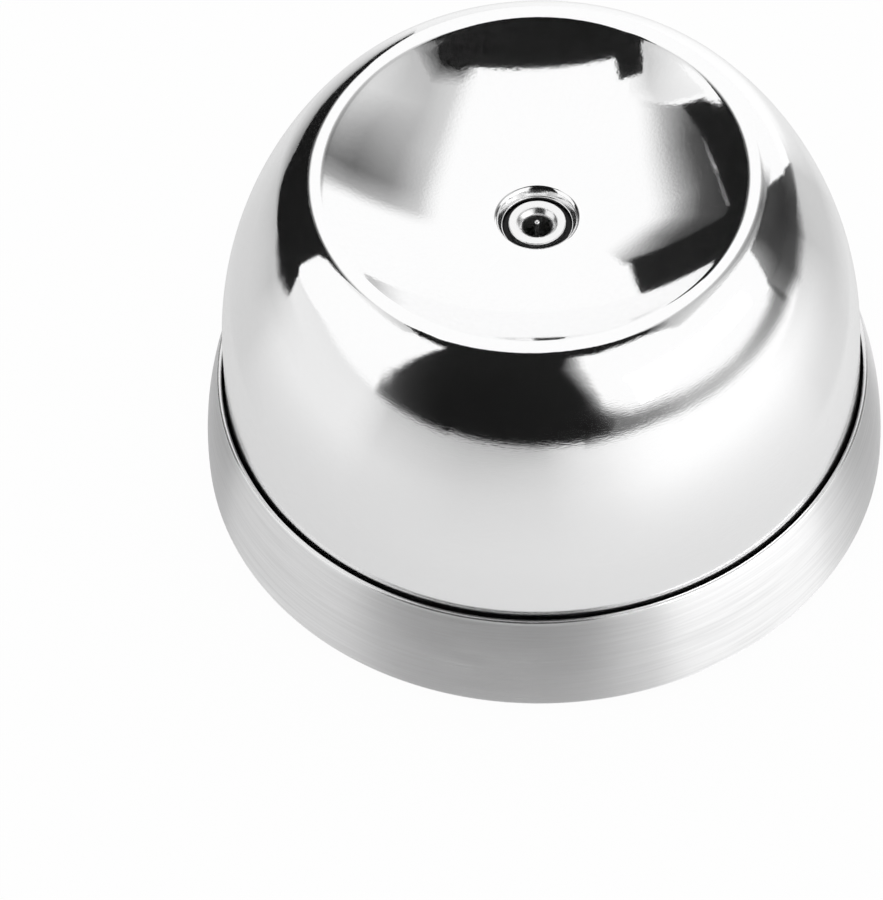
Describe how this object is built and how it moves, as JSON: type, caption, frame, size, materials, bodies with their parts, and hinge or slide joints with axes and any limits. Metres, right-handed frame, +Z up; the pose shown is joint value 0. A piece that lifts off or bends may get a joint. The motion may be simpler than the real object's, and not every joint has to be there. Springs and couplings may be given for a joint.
{
  "type": "egg piercer",
  "caption": "Round spring-loaded egg piercer: a polished dome with an egg dish presses down into a brushed base, and a fixed needle comes out through the bush at the dish's centre.",
  "frame": {"origin": "on the table surface, under the centre of the foot ring", "axes": "+Z up along the needle and the dome's travel; X and Y lie in the table, with a retaining screw on +X"},
  "size_m": [0.05, 0.05, 0.0306],
  "materials": {
    "polished_steel": "mirror-polished stainless steel with faint spin marks",
    "bush_steel": "bright turned stainless steel",
    "brushed_steel": "stainless steel brushed around its axis",
    "needle_steel": "ground hard steel",
    "turned_steel": "turned steel",
    "spring_steel": "drawn spring wire",
    "zinc_plated_steel": "zinc-plated steel",
    "black_plastic": "black moulded plastic",
    "grey_plastic": "grey moulded plastic",
    "sleeve_plastic": "natural low-friction plastic",
    "foot_rubber": "matt non-slip silicone rubber"
  },
  "bodies": {
    "base": {"base_pan": "brushed_steel", "base_core": "black_plastic", "core_screws": "zinc_plated_steel", "guide_post": "turned_steel", "post_screw": "zinc_plated_steel", "needle": "needle_steel", "return_spring": "spring_steel", "foot_ring": "foot_rubber"},
    "dome": {"dome_shell": "polished_steel", "needle_bush": "bush_steel", "bush_washer": "zinc_plated_steel", "bush_nut": "zinc_plated_steel", "dome_liner": "black_plastic", "guide_sleeve": "sleeve_plastic", "retaining_ring": "grey_plastic", "retaining_screws": "zinc_plated_steel"}
  },
  "joints": [
    {"name": "dome_press", "type": "slide", "parent": "base", "child": "dome", "axis": [0, 0, -1], "range_m": [0, 0.004], "stiffness_N_per_m": 1070, "springref_m": -0.0038, "deforming": ["return_spring"]}
  ]
}
